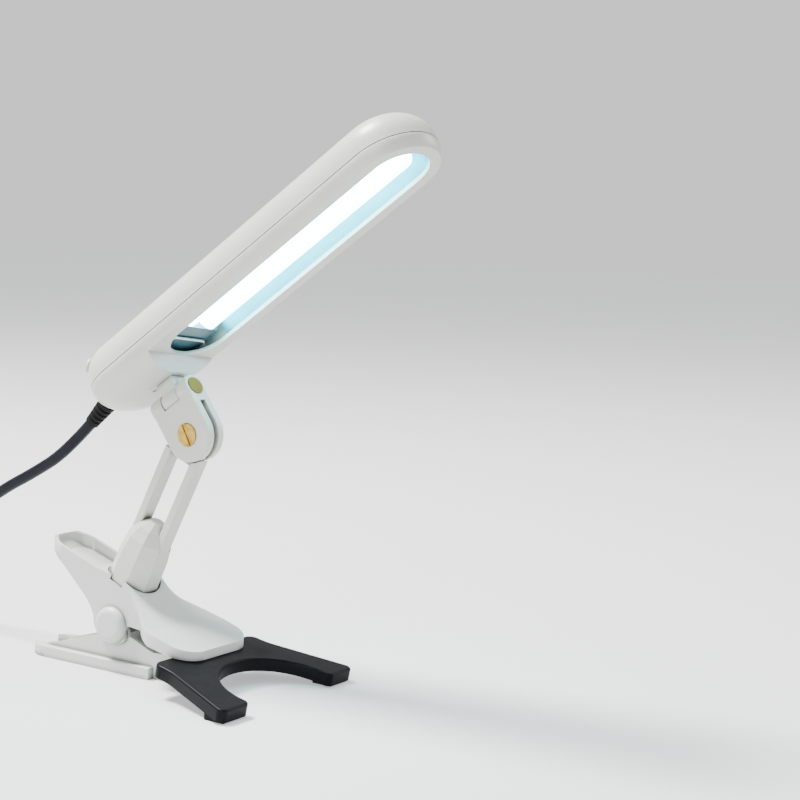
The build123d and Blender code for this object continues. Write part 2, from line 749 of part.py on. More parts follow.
# The cord's grip sits in the parting at the head's rear end.
RELIEF_U, RELIEF_W = -112.0, 0.4
relief_sink = 0.183
relief_axis = -along - head_up * relief_sink
relief_plane = Plane(
    origin=head_point(RELIEF_U, 0, RELIEF_W), x_dir=head_plane.y_dir, z_dir=relief_axis
)
RELIEF_LONG = 22.4
GRIP_R = 4.4
NECK_R = 3.6

HULL_TURNS = (0, 25, 45, 62, 75)   # degrees round the underside's quarter ellipse


def hull_shape(wall):
    """Loft the underside's bowl, with its front part cut flat, smaller by a wall."""
    with BuildPart(mode=Mode.PRIVATE) as bowl:
        for turn in HULL_TURNS:
            radius = (HEAD_R - wall) * cos(radians(turn))
            depth = (REAR_DEEP - wall) * sin(radians(turn))
            with BuildSketch(head_plane.offset(-depth)):
                stadium(HEAD_LONG - 2 * (HEAD_R - radius), radius)
        loft()
        with BuildSketch(head_side):
            with BuildLine():
                Polyline(
                    (STEP_TOP - wall, -HEAD_DEEP + wall),
                    (STEP_FOOT - wall, -REAR_DEEP),
                    (STEP_FOOT - wall, -REAR_DEEP - 5),
                    (HEAD_LONG, -REAR_DEEP - 5),
                    (HEAD_LONG, -HEAD_DEEP + wall),
                    close=True,
                )
            make_face()
        extrude(amount=40, both=True, mode=Mode.SUBTRACT)
    return bowl.part


outer_hull = hull_shape(0)
inner_hull = hull_shape(SHELL)
with BuildPart() as hull_bosses:
    with BuildSketch(head_plane.offset(-REAR_DEEP)):
        with Locations(*boss_spots):
            Circle(BOSS_R)
    extrude(amount=REAR_DEEP)
    add(outer_hull, mode=Mode.INTERSECT)

with BuildPart() as head_lower_shell:
    add(outer_hull)
    add(inner_hull, mode=Mode.SUBTRACT)
    # lip that the upper shell fits round
    with BuildSketch(head_plane.offset(-2.2)):
        stadium(HEAD_LONG - 4.4, HEAD_R - 2.2)
        SlotOverall(HEAD_LONG - 7.2, 2 * (HEAD_R - 3.6), mode=Mode.SUBTRACT)
    extrude(amount=4.0)
    add(hull_bosses.part)
    # window
    with BuildSketch(head_plane.offset(-HEAD_DEEP)):
        with Locations((WINDOW_AHEAD, 0)):
            stadium(WINDOW_LONG, WINDOW_R)
    extrude(amount=SHELL + 0.5, mode=Mode.SUBTRACT)
    # hole for the lug's neck, and the screw holes
    with BuildSketch(head_plane.offset(-REAR_DEEP - 1)):
        with Locations((-HEAD_AHEAD, 0)):
            Rectangle(2 * LUG_HALF + 0.1, 2 * LUG_NECK + 0.1)
        with Locations(*lug_spots):
            Circle(SCREW_R)
    extrude(amount=SHELL + 2, mode=Mode.SUBTRACT)
    with BuildSketch(head_plane.offset(-REAR_DEEP)):
        with Locations(*boss_spots):
            Circle(SCREW_R + 0.15)
    extrude(amount=REAR_DEEP + PARTING, mode=Mode.SUBTRACT)
    with BuildSketch(head_plane.offset(-REAR_DEEP)):
        with Locations(*boss_spots):
            Circle(SINK_R)
    extrude(amount=REAR_DEEP - SINK_DEPTH, mode=Mode.SUBTRACT)
    # half of the hole for the cord's grip
    with BuildSketch(relief_plane):
        Circle(NECK_R + 0.05)
    extrude(amount=12, mode=Mode.SUBTRACT)
    with BuildSketch(relief_plane.offset(0.4)):
        Circle(GRIP_R + 0.1)
    extrude(amount=3.2, mode=Mode.SUBTRACT)
put(head_lower_shell.part, "head_lower_shell")

# The button's axis leaves the rounded shoulder at the head's rear end, turned to -Y.
END_U = -HEAD_LONG / 2 + HEAD_R
turn_back = cos(radians(BUTTON_TURN))
turn_aside = sin(radians(BUTTON_TURN))
shoulder = HEAD_R - TOP_ROUND
slant = radians(BUTTON_SLANT)
button_out = -along * turn_back - head_plane.y_dir * turn_aside
button_axis = button_out * cos(slant) + head_up * sin(slant)
button_plane = Plane(
    origin=head_point(END_U, 0, HEAD_TOP - TOP_ROUND) + button_out * shoulder,
    x_dir=button_out.cross(head_up),
    z_dir=button_axis,
)
BUTTON_R = 3.8
BUTTON_PROUD = 1.6
BUTTON_STEP = 3.5           # the button's wide part starts this far above the switch

with BuildPart() as head_upper_shell:
    with BuildSketch(head_plane.offset(PARTING)):
        stadium(HEAD_LONG, HEAD_R)
    extrude(amount=HEAD_TOP - PARTING)
    fillet(head_upper_shell.faces().sort_by(Axis(head_middle, head_up))[-1].edges(), TOP_ROUND)
    mouth = head_upper_shell.faces().sort_by(Axis(head_middle, head_up))[0]
    offset(amount=-SHELL, openings=mouth)
    # posts that the shell screws bite into
    with BuildSketch(head_plane.offset(PARTING)):
        with Locations(*boss_spots):
            Circle(BOSS_R)
    extrude(amount=HEAD_TOP - 3.9 - PARTING)
    with BuildSketch(head_plane.offset(PARTING)):
        with Locations(*boss_spots):
            Circle(SCREW_R)
    extrude(amount=8.0, mode=Mode.SUBTRACT)
    # hole for the button
    with BuildSketch(button_plane.offset(9)):
        Circle(BUTTON_R + 0.3)
    extrude(amount=12, mode=Mode.SUBTRACT)
    # the other half of the hole for the cord's grip
    with BuildSketch(relief_plane):
        Circle(NECK_R + 0.05)
    extrude(amount=12, mode=Mode.SUBTRACT)
    with BuildSketch(relief_plane.offset(0.4)):
        Circle(GRIP_R + 0.1)
    extrude(amount=3.2, mode=Mode.SUBTRACT)
put(head_upper_shell.part, "head_upper_shell")

with BuildPart() as shell_screws:
    with BuildSketch(head_plane.offset(-SINK_DEPTH)):
        with Locations(*boss_spots):
            Circle(SINK_R - 0.2)
    extrude(amount=-1.3)
    with BuildSketch(head_plane.offset(-SINK_DEPTH)):
        with Locations(*boss_spots):
            Circle(SCREW_R)
    extrude(amount=SINK_DEPTH + 6.0)
put(shell_screws.part, "shell_screws")

# ---------------------------------------------------------------- push button and its switch
SWITCH_TOP = 9.0
with BuildPart() as switch_button:
    with BuildSketch(button_plane.offset(SWITCH_TOP + BUTTON_STEP)):
        Circle(BUTTON_R)
    extrude(amount=TOP_ROUND + BUTTON_PROUD - SWITCH_TOP - BUTTON_STEP)
    fillet(switch_button.faces().sort_by(Axis(button_plane.origin, button_axis))[-1].edges(), 1.2)
    with BuildSketch(button_plane.offset(SWITCH_TOP - 2.5)):
        Circle(1.6)
    extrude(amount=BUTTON_STEP + 2.6)
put(switch_button.part, "switch_button")

SWITCH_HALF = 5.3
SWITCH_BASE = 1.5
with BuildPart() as switch_body:
    with BuildSketch(button_plane.offset(SWITCH_BASE)):
        Rectangle(2 * SWITCH_HALF, 6.6)
    extrude(amount=SWITCH_TOP - SWITCH_BASE)
    with BuildSketch(button_plane.offset(SWITCH_TOP - 4.6)):
        Circle(1.9)
    extrude(amount=6, mode=Mode.SUBTRACT)
    # collar that reaches up to the shell's wall
    with BuildSketch(button_plane.offset(SWITCH_TOP)):
        Circle(BUTTON_R + 1.5)
        Circle(BUTTON_R + 0.4, mode=Mode.SUBTRACT)
    extrude(amount=TOP_ROUND - SWITCH_TOP - 1.2)
    add(head_upper_shell.part, mode=Mode.SUBTRACT)
put(switch_body.part, "switch_body")

# ---------------------------------------------------------------- reflector and lamp tube
TUBE_W = 4.4
REFLECTOR_REAR = -44.0
REFLECTOR_TOP = 11.6
REFLECTOR_WALL = 0.8
reflector_long = WINDOW_LONG + 5


def reflector_shape(shrink, lift):
    """Loft the tray's solid, smaller by a wall and raised by a lift at its rim."""
    with BuildPart(mode=Mode.PRIVATE) as tray:
        with BuildSketch(head_plane.offset(FLOOR - lift)):
            with Locations((WINDOW_AHEAD, 0)):
                stadium(reflector_long - 2 * shrink, WINDOW_R + 2.5 - shrink)
        with BuildSketch(head_plane.offset(REFLECTOR_TOP - shrink)):
            with Locations((WINDOW_AHEAD, 0)):
                stadium(reflector_long - 5 - 2 * shrink, WINDOW_R - shrink)
        loft()
    return tray.part


outer_tray = reflector_shape(0, 0)
inner_tray = reflector_shape(REFLECTOR_WALL, 0.1)
with BuildPart() as reflector:
    add(outer_tray)
    add(inner_tray, mode=Mode.SUBTRACT)
    with BuildSketch(head_plane.offset(FLOOR - 1)):
        with Locations((REFLECTOR_REAR - 40, 0)):
            Rectangle(80, 80)
    extrude(amount=30, mode=Mode.SUBTRACT)
put(reflector.part, "reflector")

tube_plane = Plane(origin=head_point(TUBE_START, 0, TUBE_W), x_dir=head_plane.y_dir, z_dir=along)
BRIDGE_AT = TUBE_LONG - 17
with BuildPart() as uv_tube:
    with BuildSketch(tube_plane):
        with Locations((-TUBE_PITCH / 2, 0), (TUBE_PITCH / 2, 0)):
            Circle(TUBE_R)
    extrude(amount=TUBE_LONG)
    fillet(uv_tube.faces().sort_by(Axis(tube_plane.origin, along))[-2:].edges(), TUBE_R - 1.2)
    with BuildSketch(Plane(origin=tube_plane.origin + along * BRIDGE_AT, z_dir=head_plane.y_dir)):
        Circle(3.2)
    extrude(amount=TUBE_PITCH / 2, both=True)
put(uv_tube.part, "uv_tube")

CAP_HALF = 13.4
CAP_THICK = 12.5
cap_plane = tube_plane.offset(-CAP_LONG)
PLUG_DEEP = 17.0
PIN_SPREAD = 11.5
with BuildPart() as tube_cap:
    with BuildSketch(cap_plane):
        RectangleRounded(2 * CAP_HALF, CAP_THICK, 2.5)
    extrude(amount=CAP_LONG)
    with BuildSketch(cap_plane):
        RectangleRounded(19, 8.0, 1.2)
    extrude(amount=-PLUG_DEEP)
put(tube_cap.part, "tube_cap")

with BuildPart() as tube_pins:
    with BuildSketch(cap_plane):
        with Locations((-PIN_SPREAD, 0), (PIN_SPREAD, 0)):
            Circle(1.15)
    extrude(amount=-7.5)
put(tube_pins.part, "tube_pins")

SOCKET_HALF = 16.0
SOCKET_LOW, SOCKET_HIGH = -0.7, 9.9
SOCKET_FRONT = TUBE_START - CAP_LONG - 0.3
SOCKET_LONG = 21.0
LEG_LONG = 9.6
with BuildPart() as tube_socket:
    with BuildSketch(head_plane.offset(SOCKET_LOW)):
        with Locations((SOCKET_FRONT - SOCKET_LONG / 2, 0)):
            Rectangle(SOCKET_LONG, 2 * SOCKET_HALF)
    extrude(amount=SOCKET_HIGH - SOCKET_LOW)
    # legs that stand on the shell's floor
    with BuildSketch(head_plane.offset(SOCKET_LOW)):
        with Locations((SOCKET_FRONT - 6, 14.4), (SOCKET_FRONT - 6, -14.4)):
            Rectangle(12, 3.2)
    extrude(amount=-LEG_LONG)
    add(head_lower_shell.part, mode=Mode.SUBTRACT)
    with BuildSketch(cap_plane):
        RectangleRounded(19.2, 8.2, 1.2)
    extrude(amount=-PLUG_DEEP - 0.5, mode=Mode.SUBTRACT)
    with BuildSketch(cap_plane):
        with Locations((-PIN_SPREAD, 0), (PIN_SPREAD, 0)):
            Circle(1.15)
    extrude(amount=-9, mode=Mode.SUBTRACT)
put(tube_socket.part, "tube_socket")

# wire bail that holds the lamp's cap, seen through the window
BAIL_R = 0.8
bail_w = TUBE_W - CAP_THICK / 2 - BAIL_R
BAIL_HALF = 14.4
BAIL_FRONT = -53.5
with BuildPart() as tube_bail:
    with BuildLine(Plane(origin=head_point(0, 0, bail_w), x_dir=along, z_dir=head_up)) as bail_line:
        FilletPolyline(
            (SOCKET_FRONT, -BAIL_HALF),
            (BAIL_FRONT, -BAIL_HALF + 3),
            (BAIL_FRONT, BAIL_HALF - 3),
            (SOCKET_FRONT, BAIL_HALF),
            radius=3.5,
        )
    with BuildSketch(Plane(origin=bail_line.line @ 0, z_dir=bail_line.line % 0)):
        Circle(BAIL_R)
    sweep()
    add(tube_socket.part, mode=Mode.SUBTRACT)
put(tube_bail.part, "tube_bail")

# ---------------------------------------------------------------- ballast over the reflector
BOARD_REAR, BOARD_FRONT = -60.5, 21.5
BOARD_HALF = 13.5
BOARD_THICK = 1.4
board_top = REFLECTOR_TOP + BOARD_THICK
with BuildPart() as ballast_board:
    with BuildSketch(head_plane.offset(REFLECTOR_TOP)):
        with Locations(((BOARD_REAR + BOARD_FRONT) / 2, 0)):
            Rectangle(BOARD_FRONT - BOARD_REAR, 2 * BOARD_HALF)
    extrude(amount=BOARD_THICK)
put(ballast_board.part, "ballast_board")

with BuildPart() as ballast_parts:
    with BuildSketch(head_plane.offset(board_top)):
        with Locations((-48, 0), (-30, -4)):
            Rectangle(12, 10)
        with Locations((-14, 5), (2, -3)):
            Rectangle(8, 6)
        with Locations((14, 4), (14, -5)):
            Circle(2.6)
    extrude(amount=2.6)
put(ballast_parts.part, "ballast_parts")

lead_start = button_plane.origin + button_axis * SWITCH_BASE
with BuildPart() as inner_leads:
    with BuildLine() as lead_line:
        FilletPolyline(
            lead_start,
            lead_start - button_axis * 4,
            head_point(-91.5, -5, 11.8),
            head_point(BOARD_REAR, -5, 12.3),
            radius=1.6,
        )
    with BuildSketch(Plane(origin=lead_line.line @ 0, z_dir=lead_line.line % 0)):
        Circle(0.7)
    sweep()
put(inner_leads.part, "inner_leads")

# ---------------------------------------------------------------- cord grip
with BuildPart() as strain_relief:
    with BuildSketch(relief_plane):
        Circle(NECK_R)
    extrude(amount=9)
    with BuildSketch(relief_plane.offset(0.5)):
        Circle(GRIP_R)
    extrude(amount=3.0)
    # ribbed tail outside the shell
    with BuildSketch(relief_plane.offset(7.2)):
        Circle(5.0)
    with BuildSketch(relief_plane.offset(RELIEF_LONG)):
        Circle(3.7)
    loft()
    for rib in range(4):
        with BuildSketch(relief_plane.offset(9.4 + 3.0 * rib)):
            Circle(7)
            Circle(4.0 - 0.22 * rib, mode=Mode.SUBTRACT)
        extrude(amount=1.2, mode=Mode.SUBTRACT)
put(strain_relief.part, "strain_relief")

# ---------------------------------------------------------------- mains cord
relief_end = relief_plane.origin + relief_plane.z_dir * RELIEF_LONG
cord_low = COIL_LOW + CORD_D / 2
coil_mean_out = COIL_OUT - CORD_D / 2
coil_ring = Plane.XY.offset(COIL_LOW)

with BuildPart() as cord_coil:
    with BuildSketch(coil_ring):
        with Locations((COIL_X, COIL_Y)):
            Circle(COIL_OUT)
            Circle(COIL_IN, mode=Mode.SUBTRACT)
    extrude(amount=COIL_HIGH - COIL_LOW)
    fillet(cord_coil.edges(), 2.6)
put(cord_coil.part, "cord_coil")


def cord_tube(points):
    """Sweep the cord's round section along straight runs joined by tangent arcs."""
    spots = [Vector(*point) for point in points]
    bends = []
    for before, corner, after in zip(spots, spots[1:], spots[2:]):
        into = corner - before
        out = after - corner
        half_turn = radians(into.get_angle(out)) / 2
        bends.append(0.45 * min(into.length, out.length) / tan(half_turn))
    with BuildPart(mode=Mode.PRIVATE) as tube:
        with BuildLine() as route:
            FilletPolyline(*spots, radius=bends)
        with BuildSketch(Plane(origin=route.line @ 0, z_dir=route.line % 0)):
            Circle(CORD_D / 2)
        sweep()
    return tube.part


lead_points = [
    (relief_end.X, relief_end.Y, relief_end.Z),
    (-103.5, 3.0, 106.6),
    (-126.0, 2.4, 93.2),
    (-148.2, 1.6, 81.7),
    (-180.0, 2.6, 61.5),
    (-210.0, 8.0, 40.0),
    (-237.0, 16.0, 19.0),
    (-259.0, 24.0, 6.4),
    (-284.0, 30.6, cord_low),
    (COIL_X, COIL_Y + coil_mean_out, cord_low),
]
lead_tube = cord_tube(lead_points)
with BuildPart() as cord_lead:
    add(lead_tube)
    add(cord_coil.part, mode=Mode.SUBTRACT)
    add(strain_relief.part, mode=Mode.SUBTRACT)
put(cord_lead.part, "cord_lead")

# ---------------------------------------------------------------- plug beside the coil
PLUG_X = -272.0
PLUG_Y = COIL_Y - coil_mean_out - 1.0
PLUG_TAIL = 13.0
plug_middle = PLUG_THICK / 2
plug_plane = Plane(origin=(PLUG_X, PLUG_Y, plug_middle), x_dir=(0, 1, 0), z_dir=(1, 0, 0))
with BuildPart() as plug_body:
    with BuildSketch(plug_plane):
        RectangleRounded(20, PLUG_THICK, 4)
    with BuildSketch(plug_plane.offset(14)):
        RectangleRounded(PLUG_WIDE, PLUG_THICK, 4)
    loft()
    with BuildSketch(plug_plane.offset(14)):
        RectangleRounded(PLUG_WIDE, PLUG_THICK, 4)
    extrude(amount=PLUG_LONG - 14)
    with BuildSketch(plug_plane):
        Circle(5.2)
    with BuildSketch(plug_plane.offset(-PLUG_TAIL)):
        Circle(3.7)
    loft()
put(plug_body.part, "plug_body")

with BuildPart() as plug_pins:
    with BuildSketch(plug_plane.offset(PLUG_LONG)):
        with Locations((-9.3, 0), (9.3, 0)):
            Circle(2.0)
    extrude(amount=19)
    fillet(plug_pins.faces().sort_by(Axis.X)[-2:].edges(), 1.2)
put(plug_pins.part, "plug_pins")

tail_points = [
    (COIL_X, COIL_Y - coil_mean_out, cord_low),
    (-307.0, COIL_Y - coil_mean_out, cord_low + 0.1),
    (-296.0, COIL_Y - coil_mean_out - 0.5, cord_low + 2.1),
    (PLUG_X - PLUG_TAIL, PLUG_Y, plug_middle),
]
tail_tube = cord_tube(tail_points)
with BuildPart() as cord_tail:
    add(tail_tube)
    add(cord_coil.part, mode=Mode.SUBTRACT)
    add(plug_body.part, mode=Mode.SUBTRACT)
put(cord_tail.part, "cord_tail")

# tie round the coil's bundle
TIE_THICK = 0.8
tie_plane = Plane(origin=(COIL_X, COIL_Y, 0), x_dir=(-1, 0, 0), z_dir=(0, 1, 0))
tie_middle = (COIL_IN + COIL_OUT) / 2
tie_wide = COIL_OUT - COIL_IN
tie_tall = COIL_HIGH - COIL_LOW
with BuildPart() as cord_tie:
    with BuildSketch(tie_plane):
        with Locations((tie_middle, (COIL_LOW + COIL_HIGH) / 2)):
            RectangleRounded(tie_wide + 2 * TIE_THICK, tie_tall + 2 * TIE_THICK, 3.2)
            RectangleRounded(tie_wide + 0.1, tie_tall + 0.02, 2.5, mode=Mode.SUBTRACT)
    extrude(amount=4, both=True)
    add(cord_coil.part, mode=Mode.SUBTRACT)
put(cord_tie.part, "cord_tie")
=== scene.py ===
"""Blender scene of a UV curing lamp: finishes, mains lead, studio and camera.

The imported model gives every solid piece. This script dresses each one, draws the
mains lead as one smooth curve, and sets up the light and the view.
"""

import logging
from dataclasses import dataclass
from enum import Enum
from math import cos, pi, radians, sin

import bpy
from mathutils import Matrix, Vector


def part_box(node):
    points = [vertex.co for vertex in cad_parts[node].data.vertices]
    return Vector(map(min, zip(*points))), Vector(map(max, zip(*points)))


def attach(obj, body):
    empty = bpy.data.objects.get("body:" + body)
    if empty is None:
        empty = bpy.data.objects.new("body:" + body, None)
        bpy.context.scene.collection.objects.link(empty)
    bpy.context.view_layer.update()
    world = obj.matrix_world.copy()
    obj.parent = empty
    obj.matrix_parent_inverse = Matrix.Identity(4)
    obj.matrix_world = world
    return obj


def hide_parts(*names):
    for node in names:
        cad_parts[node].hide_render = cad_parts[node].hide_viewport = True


log = logging.getLogger("uv_lamp")
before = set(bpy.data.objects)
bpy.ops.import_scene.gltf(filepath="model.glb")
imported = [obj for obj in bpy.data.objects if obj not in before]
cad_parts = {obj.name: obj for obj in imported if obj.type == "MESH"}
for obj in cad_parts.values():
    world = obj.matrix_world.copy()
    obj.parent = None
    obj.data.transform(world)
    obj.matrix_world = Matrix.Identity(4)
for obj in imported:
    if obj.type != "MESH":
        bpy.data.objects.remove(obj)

MM = 0.001
HEAD_LEAN = 36.1  # degrees that the head's long axis rises
Colour = tuple[float, float, float]


# ---------------------------------------------------------------- shader maths
class Wire:
    """One shader value, which can be added, scaled and mixed like a number."""

    def __init__(self, graph: "Graph", socket: bpy.types.NodeSocket) -> None:
        """Wrap an output socket of a graph."""
        self.graph = graph
        self.socket = socket

    def __add__(self, other: "Wire | float") -> "Wire":
        """Return the sum."""
        return self.graph.maths("ADD", self, other)

    def __sub__(self, other: "Wire | float") -> "Wire":
        """Return the difference."""
        return self.graph.maths("SUBTRACT", self, other)

    def __mul__(self, other: "Wire | float") -> "Wire":
        """Return the product."""
        return self.graph.maths("MULTIPLY", self, other)

    def __radd__(self, other: float) -> "Wire":
        """Return the sum, with a number first."""
        return self.graph.maths("ADD", other, self)

    def __rsub__(self, other: float) -> "Wire":
        """Return the difference, with a number first."""
        return self.graph.maths("SUBTRACT", other, self)

    def __rmul__(self, other: float) -> "Wire":
        """Return the product, with a number first."""
        return self.graph.maths("MULTIPLY", other, self)


Value = Wire | float | Colour


class Graph:
    """A material's node tree with one Principled shader."""

    def __init__(self, name: str) -> None:
        """Start a material of the given name."""
        self.material = bpy.data.materials.new(name)
        self.material.use_nodes = True
        self.tree = self.material.node_tree
        self.shader = self.tree.nodes["Principled BSDF"]
        self.place = Wire(self, self.node("ShaderNodeTexCoord").outputs["Object"])

    def node(
        self, kind: str, sockets: "dict[str | int, Value] | None" = None, **settings: object
    ) -> bpy.types.Node:
        """Add a node.

        Args:
            kind: The node's Blender type.
            sockets: The values or links of its inputs, by name or place.
            settings: Its properties by name, which are set first.

        Returns:
            The new node.
        """
        made = self.tree.nodes.new(kind)
        for key, value in settings.items():
            setattr(made, key, value)
        for key, value in (sockets or {}).items():
            self.feed(made.inputs[key], value)
        return made

    def feed(self, socket: bpy.types.NodeSocket, value: "Value") -> None:
        """Link a wire to an input, or set the input's constant."""
        if isinstance(value, Wire):
            self.tree.links.new(value.socket, socket)
        elif isinstance(value, tuple):
            socket.default_value = (*value, 1.0)[: len(socket.default_value)]
        else:
            socket.default_value = value

    def maths(self, step: str, first: "Wire | float", second: "Wire | float") -> Wire:
        """Combine two values by one arithmetic step."""
        made = self.node("ShaderNodeMath", {0: first, 1: second}, operation=step)
        return Wire(self, made.outputs[0])

    def noise(self, scale: float, detail: float = 3.0, stretch: Colour | None = None) -> Wire:
        """Return a noise value from 0 to 1.

        Args:
            scale: Features per metre.
            detail: Octaves.
            stretch: Scale along X, Y and Z, where the grain runs one way.

        Returns:
            The noise as a wire.
        """
        spot = self.place
        if stretch is not None:
            mapped = self.node("ShaderNodeMapping", {"Vector": self.place, "Scale": stretch})
            spot = Wire(self, mapped.outputs[0])
        made = self.node("ShaderNodeTexNoise", {"Vector": spot, "Scale": scale, "Detail": detail})
        return Wire(self, made.outputs["Fac"])

    def specks(self, scale: float) -> Wire:
        """Return the distance to scattered points, for moulded grain."""
        made = self.node("ShaderNodeTexVoronoi", {"Vector": self.place, "Scale": scale})
        return Wire(self, made.outputs["Distance"])

    def clamp(self, value: Wire, low: float, high: float) -> Wire:
        """Map a value's range from low to high onto 0 to 1, cut off outside."""
        span = {"Value": value, "From Min": low, "From Max": high}
        made = self.node("ShaderNodeMapRange", span)
        return Wire(self, made.outputs["Result"])

    def blend(self, factor: Wire, first: "Wire | Colour", second: "Wire | Colour") -> Wire:
        """Mix two colours by a factor."""
        made = self.node("ShaderNodeMix", {"Factor": factor, 6: first, 7: second}, data_type="RGBA")
        return Wire(self, made.outputs[2])

    def reach(self, direction: Colour, start: float, end: float) -> Wire:
        """Return 0 to 1 between two distances along a direction, in metres."""
        sockets = {0: self.place, 1: direction}
        made = self.node("ShaderNodeVectorMath", sockets, operation="DOT_PRODUCT")
        return self.clamp(Wire(self, made.outputs["Value"]), start, end)

    def edge_wear(self) -> Wire:
        """Return how sharply the surface turns outwards, from 0 to 1."""
        made = self.node("ShaderNodeNewGeometry")
        return self.clamp(Wire(self, made.outputs["Pointiness"]), 0.5, 0.6)

    def facing(self, strength: float) -> Wire:
        """Return how far the surface turns away from the eye, from 0 to 1."""
        made = self.node("ShaderNodeLayerWeight", {"Blend": strength})
        return Wire(self, made.outputs["Facing"])

    def crevice(self, distance: float) -> Wire:
        """Return 1 in the open and less in corners within a distance in metres."""
        made = self.node("ShaderNodeAmbientOcclusion", {"Distance": distance}, samples=8)
        return Wire(self, made.outputs["AO"])

    def bump(self, height: Wire, depth: float, strength: float = 1.0) -> None:
        """Raise the shader's normal by a height of the given depth in metres."""
        sockets = {"Strength": strength, "Distance": depth, "Height": height}
        made = self.node("ShaderNodeBump", sockets)
        self.feed(self.shader.inputs["Normal"], Wire(self, made.outputs["Normal"]))

    def set(self, **values: "Value") -> None:
        """Set the shader's inputs, with underscores for the spaces in their names."""
        for key, value in values.items():
            self.feed(self.shader.inputs[key.replace("_", " ")], value)


# ---------------------------------------------------------------- finishes
@dataclass(frozen=True)
class MouldedPlastic:
    """Injection-moulded plastic: slight cloudiness, fine grain and painted shade in corners."""

    name: str
    light: Colour
    shade: Colour
    # near-black colour that corners and creases darken to: painted shade
    crevice_shade: Colour
    roughness: float = 0.38
    grain_mm: float = 0.006
    coat: float = 0.15
    gloss: float = 0.4

    def build(self) -> bpy.types.Material:
        """Make the material."""
        graph = Graph(self.name)
        cloud = graph.clamp(graph.noise(28.0, 4.0), 0.35, 0.68)
        flow = graph.noise(140.0, 5.0, stretch=(0.25, 1.0, 1.0))
        body = graph.blend(cloud, self.shade, self.light)
        # ambient occlusion darkens corners towards that colour: painted shade
        crevice_shade_mask = graph.clamp(graph.crevice(0.004), 0.25, 0.85)
        tint = graph.blend(crevice_shade_mask, self.crevice_shade, body)
        grain = graph.specks(2600.0) * 0.6 + graph.noise(5200.0, 2.0) * 0.4
        smear = graph.clamp(graph.noise(60.0, 6.0), 0.45, 0.75)
        graph.set(
            Base_Color=tint,
            Roughness=self.roughness + smear * 0.12 + flow * 0.05 - 0.04,
            Coat_Weight=self.coat,
            Coat_Roughness=0.22,
            Specular_IOR_Level=self.gloss,
        )
        graph.bump(grain + flow * 0.5, self.grain_mm * MM, 0.6)
        return graph.material


@dataclass(frozen=True)
class TurnedMetal:
    """Lathe-turned or plated metal with fine tool marks and dull patches."""

    name: str
    bright: Colour
    dull: Colour
    roughness: float = 0.28
    marks: Colour = (1.0, 12.0, 1.0)

    def build(self) -> bpy.types.Material:
        """Make the material."""
        graph = Graph(self.name)
        stain = graph.clamp(graph.noise(320.0, 6.0), 0.42, 0.7)
        worn = graph.edge_wear()
        base = graph.blend(stain, self.bright, self.dull)
        lines = graph.noise(1800.0, 4.0, stretch=self.marks)
        graph.set(
            Base_Color=graph.blend(worn, base, self.bright),
            Metallic=1.0,
            Roughness=self.roughness + stain * 0.18 + lines * 0.08,
        )
        graph.bump(lines, 0.01 * MM, 0.5)
        return graph.material


@dataclass(frozen=True)
class Rubber:
    """Soft moulded rubber or cable sheath with a bloom and fine pits."""

    name: str
    deep: Colour
    bloom: Colour
    roughness: float = 0.55
    pits: float = 3200.0
    gloss: float = 0.12

    def build(self) -> bpy.types.Material:
        """Make the material."""
        graph = Graph(self.name)
        haze = graph.clamp(graph.noise(90.0, 6.0), 0.4, 0.75)
        scuff = graph.clamp(graph.noise(700.0, 3.0, stretch=(1.0, 0.3, 1.0)), 0.6, 0.8)
        graph.set(
            Base_Color=graph.blend(haze * 0.7 + scuff * 0.3, self.deep, self.bloom),
            Roughness=self.roughness + haze * 0.14 - scuff * 0.08,
            Specular_IOR_Level=self.gloss,
        )
        graph.bump(graph.noise(self.pits, 3.0) + scuff * 0.4, 0.02 * MM, 0.5)
        return graph.material


@dataclass(frozen=True)
class LitGlass:
    """A lit discharge tube: a near-white core and a blue-green edge."""

    name: str = "lit_tube"
    core: Colour = (0.42, 0.92, 1.0)
    rim: Colour = (0.25, 0.80, 1.0)
    glass: Colour = (0.9, 0.97, 1.0)
    glass_rim: Colour = (0.6, 0.85, 0.95)
    power: float = 26.0

    def build(self) -> bpy.types.Material:
        """Make the material."""
        graph = Graph(self.name)
        edge = graph.facing(0.35)
        streak = graph.noise(45.0, 3.0)
        glow = graph.blend(graph.clamp(edge + streak * 0.2, 0.2, 1.0), self.core, self.rim)
        graph.set(
            Base_Color=graph.blend(edge, self.glass, self.glass_rim),
            Roughness=0.08 + streak * 0.06,
            Emission_Color=glow,
            Emission_Strength=self.power,
        )
        return graph.material


